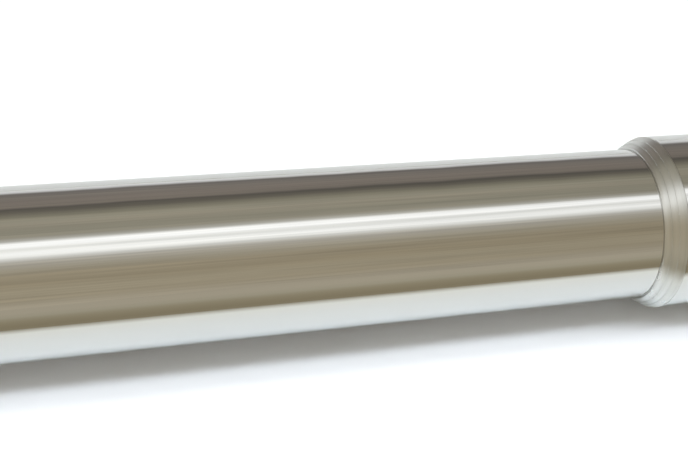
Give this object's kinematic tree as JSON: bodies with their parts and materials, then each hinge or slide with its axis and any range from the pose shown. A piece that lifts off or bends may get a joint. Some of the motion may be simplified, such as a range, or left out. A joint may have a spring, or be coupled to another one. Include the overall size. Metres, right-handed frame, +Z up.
{
  "type": "telescopic hydraulic cylinder",
  "caption": "Single-acting telescopic hydraulic cylinder: polished tubes nested in a painted barrel, cross bore at the base, spherical bearing eye at the rod end.",
  "frame": {"origin": "centre of the cross pin bore in the base block", "axes": "+X along the cylinder, the way it extends; +Y along the cross pin; +Z up as it lies on its side"},
  "size_m": [2.2669, 0.169, 0.169],
  "materials": {
    "barrel_paint": "satin black paint",
    "weld_bead": "painted weld",
    "chrome_tube": "hard chrome, polished",
    "turned_steel": "turned, satin",
    "bronze": "turned bronze",
    "seal_rubber": "matt",
    "guide_plastic": "filled resin band",
    "spring_steel": "blued spring steel",
    "plain_steel": "turned",
    "bearing_steel": "ground",
    "zinc_steel": "zinc plated"
  },
  "bodies": {
    "barrel": {"base_block": "barrel_paint", "base_bush": "bronze", "base_grease_nipple": "zinc_steel", "base_weld": "weld_bead", "barrel_tube": "barrel_paint", "barrel_head_ring": "turned_steel", "barrel_o_ring": "seal_rubber", "barrel_wiper": "seal_rubber", "barrel_rod_seal": "seal_rubber", "barrel_guide_ring": "guide_plastic"},
    "stage_1": {"stage_1_tube": "chrome_tube", "stage_1_foot_bush": "bronze", "stage_1_lock_ring": "spring_steel", "stage_1_stop_ring": "spring_steel", "stage_1_support_ring": "spring_steel", "stage_1_head_ring": "turned_steel", "stage_1_o_ring": "seal_rubber", "stage_1_wiper": "seal_rubber", "stage_1_rod_seal": "seal_rubber", "stage_1_guide_ring": "guide_plastic"},
    "stage_2": {"stage_2_tube": "chrome_tube", "stage_2_foot_bush": "bronze", "stage_2_lock_ring": "spring_steel", "stage_2_stop_ring": "spring_steel", "stage_2_support_ring": "spring_steel", "stage_2_head_ring": "turned_steel", "stage_2_o_ring": "seal_rubber", "stage_2_wiper": "seal_rubber", "stage_2_rod_seal": "seal_rubber", "stage_2_guide_ring": "guide_plastic"},
    "plunger": {"plunger_tube": "chrome_tube", "plunger_foot_plug": "plain_steel", "plunger_plug_o_ring": "seal_rubber", "plunger_plug_ring": "spring_steel", "rod_eye_weld": "weld_bead", "plunger_foot_bush": "bronze", "plunger_lock_ring": "spring_steel", "plunger_stop_ring": "spring_steel", "rod_eye": "barrel_paint", "rod_eye_race": "bearing_steel", "snap_ring_left": "spring_steel", "snap_ring_right": "spring_steel", "rod_eye_grease_nipple": "zinc_steel", "bleed_screw": "zinc_steel"},
    "eye_ball": {"rod_eye_ball": "bearing_steel"}
  },
  "joints": [
    {"name": "stage_1_slide", "type": "slide", "parent": "barrel", "child": "stage_1", "axis": [1, 0, 0], "range_m": [-0.13, 0.638]},
    {"name": "stage_2_slide", "type": "slide", "parent": "stage_1", "child": "stage_2", "axis": [1, 0, 0], "range_m": [-0.7, 0.085]},
    {"name": "plunger_slide", "type": "slide", "parent": "stage_2", "child": "plunger", "axis": [1, 0, 0], "range_m": [-0.06, 0.742]},
    {"name": "eye_ball_tilt", "type": "hinge", "parent": "plunger", "child": "eye_ball", "pos_m": [2.086, 0, 0], "axis": [1, 0, 0], "range_deg": [-6, 6]}
  ]
}
